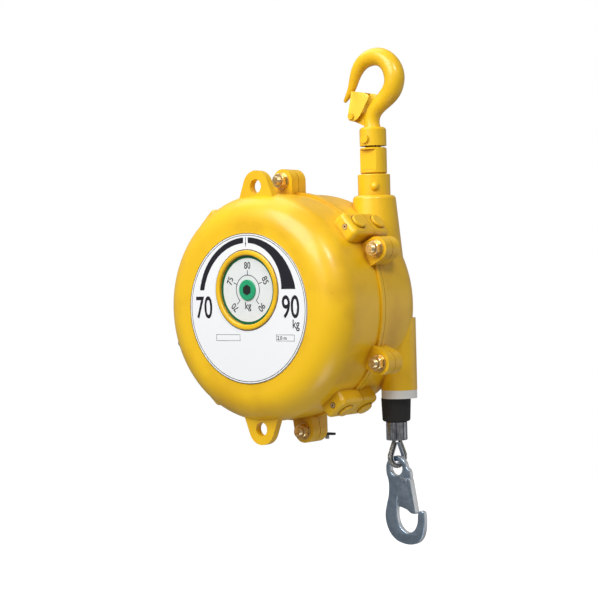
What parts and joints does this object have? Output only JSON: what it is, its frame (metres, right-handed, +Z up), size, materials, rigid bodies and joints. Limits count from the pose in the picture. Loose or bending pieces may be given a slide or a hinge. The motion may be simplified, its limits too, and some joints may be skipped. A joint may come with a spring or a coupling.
{
  "type": "spring balancer",
  "caption": "Spring balancer: drum-shaped cast case with tension dial, swivel suspension hook on top, and a retracting wire rope with bumper and snap hook.",
  "frame": {"origin": "point where the inside top of the suspension hook bears on its support", "axes": "+Z up along the hook; the dial faces -Y; the rope hangs down on the +X side"},
  "size_m": [0.3594, 0.2166, 0.7151],
  "materials": {
    "yellow_enamel": "gloss enamel over cast aluminium",
    "yellow_zinc": "yellow zinc plate, satin",
    "zinc_bright": "bright zinc plate, satin",
    "label_white": "smooth gloss",
    "dial_green": "smooth gloss",
    "nylon_white": "matt nylon",
    "rubber_black": "matt black rubber",
    "sleeve_steel": "drawn steel, satin",
    "wire_rope": "stranded galvanised wire",
    "black_steel": "black oxide",
    "machined_steel": "turned steel",
    "spring_steel": "blued spring steel",
    "drum_aluminium": "cast and turned",
    "wheel_bronze": "gear bronze, machined",
    "gasket_fibre": "matt gasket"
  },
  "bodies": {
    "case": {"front_cover": "yellow_enamel", "rear_case": "yellow_enamel", "flange_gasket": "gasket_fibre", "flange_bolts": "yellow_zinc", "flange_nuts": "yellow_zinc", "flange_washers": "yellow_zinc", "boss_plugs": "yellow_enamel", "boss_set_screws": "yellow_zinc", "name_plate": "label_white", "gear_plate": "machined_steel", "gear_plate_screws": "machined_steel", "main_shaft": "machined_steel", "shaft_nut": "yellow_zinc", "tower_collar": "yellow_enamel", "collar_pin": "yellow_enamel", "outlet_guide": "nylon_white", "rope_lead": "wire_rope", "rope_run": "wire_rope", "lock_stop_pin": "machined_steel"},
    "swivel": {"swivel_block": "yellow_enamel", "swivel_nut": "machined_steel"},
    "hook": {"suspension_hook": "yellow_enamel", "knuckle_pin": "yellow_enamel", "latch_pin": "yellow_enamel", "latch_spring": "spring_steel"},
    "latch": {"hook_latch": "yellow_enamel"},
    "dial": {"dial_disc": "label_white", "dial_hub": "dial_green", "dial_gear": "machined_steel"},
    "arbor": {"spring_arbor": "machined_steel", "mainspring": "spring_steel", "worm_wheel": "wheel_bronze"},
    "worm": {"worm": "machined_steel"},
    "drum": {"rope_drum": "drum_aluminium", "drum_bearings": "machined_steel", "spring_case": "drum_aluminium", "spring_lid": "machined_steel", "drum_screws": "machined_steel", "wound_rope": "wire_rope"},
    "rope_end": {"rope_bumper": "rubber_black", "rope_sleeve": "sleeve_steel", "rope_loop": "wire_rope", "thimble": "zinc_bright"},
    "snap": {"snap_hook": "zinc_bright", "gate_pin": "zinc_bright"},
    "gate": {"snap_gate": "zinc_bright"},
    "lock_lever": {"lock_lever": "black_steel", "lock_lever_screw": "machined_steel", "lock_lever_knob": "machined_steel"},
    "lock_plunger": {"lock_plunger": "machined_steel"}
  },
  "joints": [
    {"name": "hook_swivel", "type": "hinge", "parent": "case", "child": "swivel", "pos_m": [0, 0, -0.186], "axis": [0, 0, 1], "continuous": true},
    {"name": "hook_tilt", "type": "hinge", "parent": "swivel", "child": "hook", "pos_m": [0, 0, -0.105], "axis": [0, 1, 0], "range_deg": [-6, 6]},
    {"name": "latch_open", "type": "hinge", "parent": "hook", "child": "latch", "pos_m": [-0.027, 0, -0.071], "axis": [0, 1, 0], "range_deg": [0, 28], "stiffness_Nm_per_rad": 0.05, "springref_deg": -34.38},
    {"name": "tension_turn", "type": "hinge", "parent": "case", "child": "arbor", "pos_m": [-0.101, -0.0695, -0.343], "axis": [0, 1, 0], "range_deg": [-304, 304]},
    {"name": "dial_turn", "type": "hinge", "parent": "case", "child": "dial", "pos_m": [-0.101, -0.0695, -0.317], "axis": [0, 1, 0], "range_deg": [-136, 136]},
    {"name": "worm_turn", "type": "hinge", "parent": "case", "child": "worm", "pos_m": [-0.101, -0.1435, -0.393], "axis": [1, 0, 0], "range_deg": [-12170, 12170]},
    {"name": "rope_payout", "type": "slide", "parent": "case", "child": "rope_end", "axis": [0, 0, -1], "range_m": [0, 2], "stiffness_N_per_m": 6, "springref_m": -10, "deforming": ["rope_run"]},
    {"name": "drum_turn", "type": "hinge", "parent": "case", "child": "drum", "pos_m": [-0.101, -0.0695, -0.343], "axis": [0, 1, 0], "range_deg": [0, 961]},
    {"name": "snap_swing", "type": "hinge", "parent": "rope_end", "child": "snap", "pos_m": [0.02632, 0.0045, -0.5767], "axis": [0, 1, 0], "range_deg": [-60, 60]},
    {"name": "gate_open", "type": "hinge", "parent": "snap", "child": "gate", "pos_m": [0.04132, 0.0045, -0.5984], "axis": [0, 1, 0], "range_deg": [0, 30], "stiffness_Nm_per_rad": 0.05, "springref_deg": -34.38},
    {"name": "lock_turn", "type": "hinge", "parent": "case", "child": "lock_lever", "pos_m": [-0.101, -0.0185, -0.53], "axis": [0, 0, 1], "range_deg": [0, 94]},
    {"name": "lock_rise", "type": "slide", "parent": "case", "child": "lock_plunger", "axis": [0, 0, 1], "range_m": [0, 0.01]}
  ],
  "couplings": [
    {"joint": "dial_turn", "follows": "tension_turn", "ratio": -0.44444},
    {"joint": "worm_turn", "follows": "tension_turn", "ratio": 40},
    {"joint": "drum_turn", "follows": "rope_payout", "rad_per_m": 7.8542},
    {"joint": "lock_turn", "follows": "lock_rise", "rad_per_m": 157.08}
  ]
}
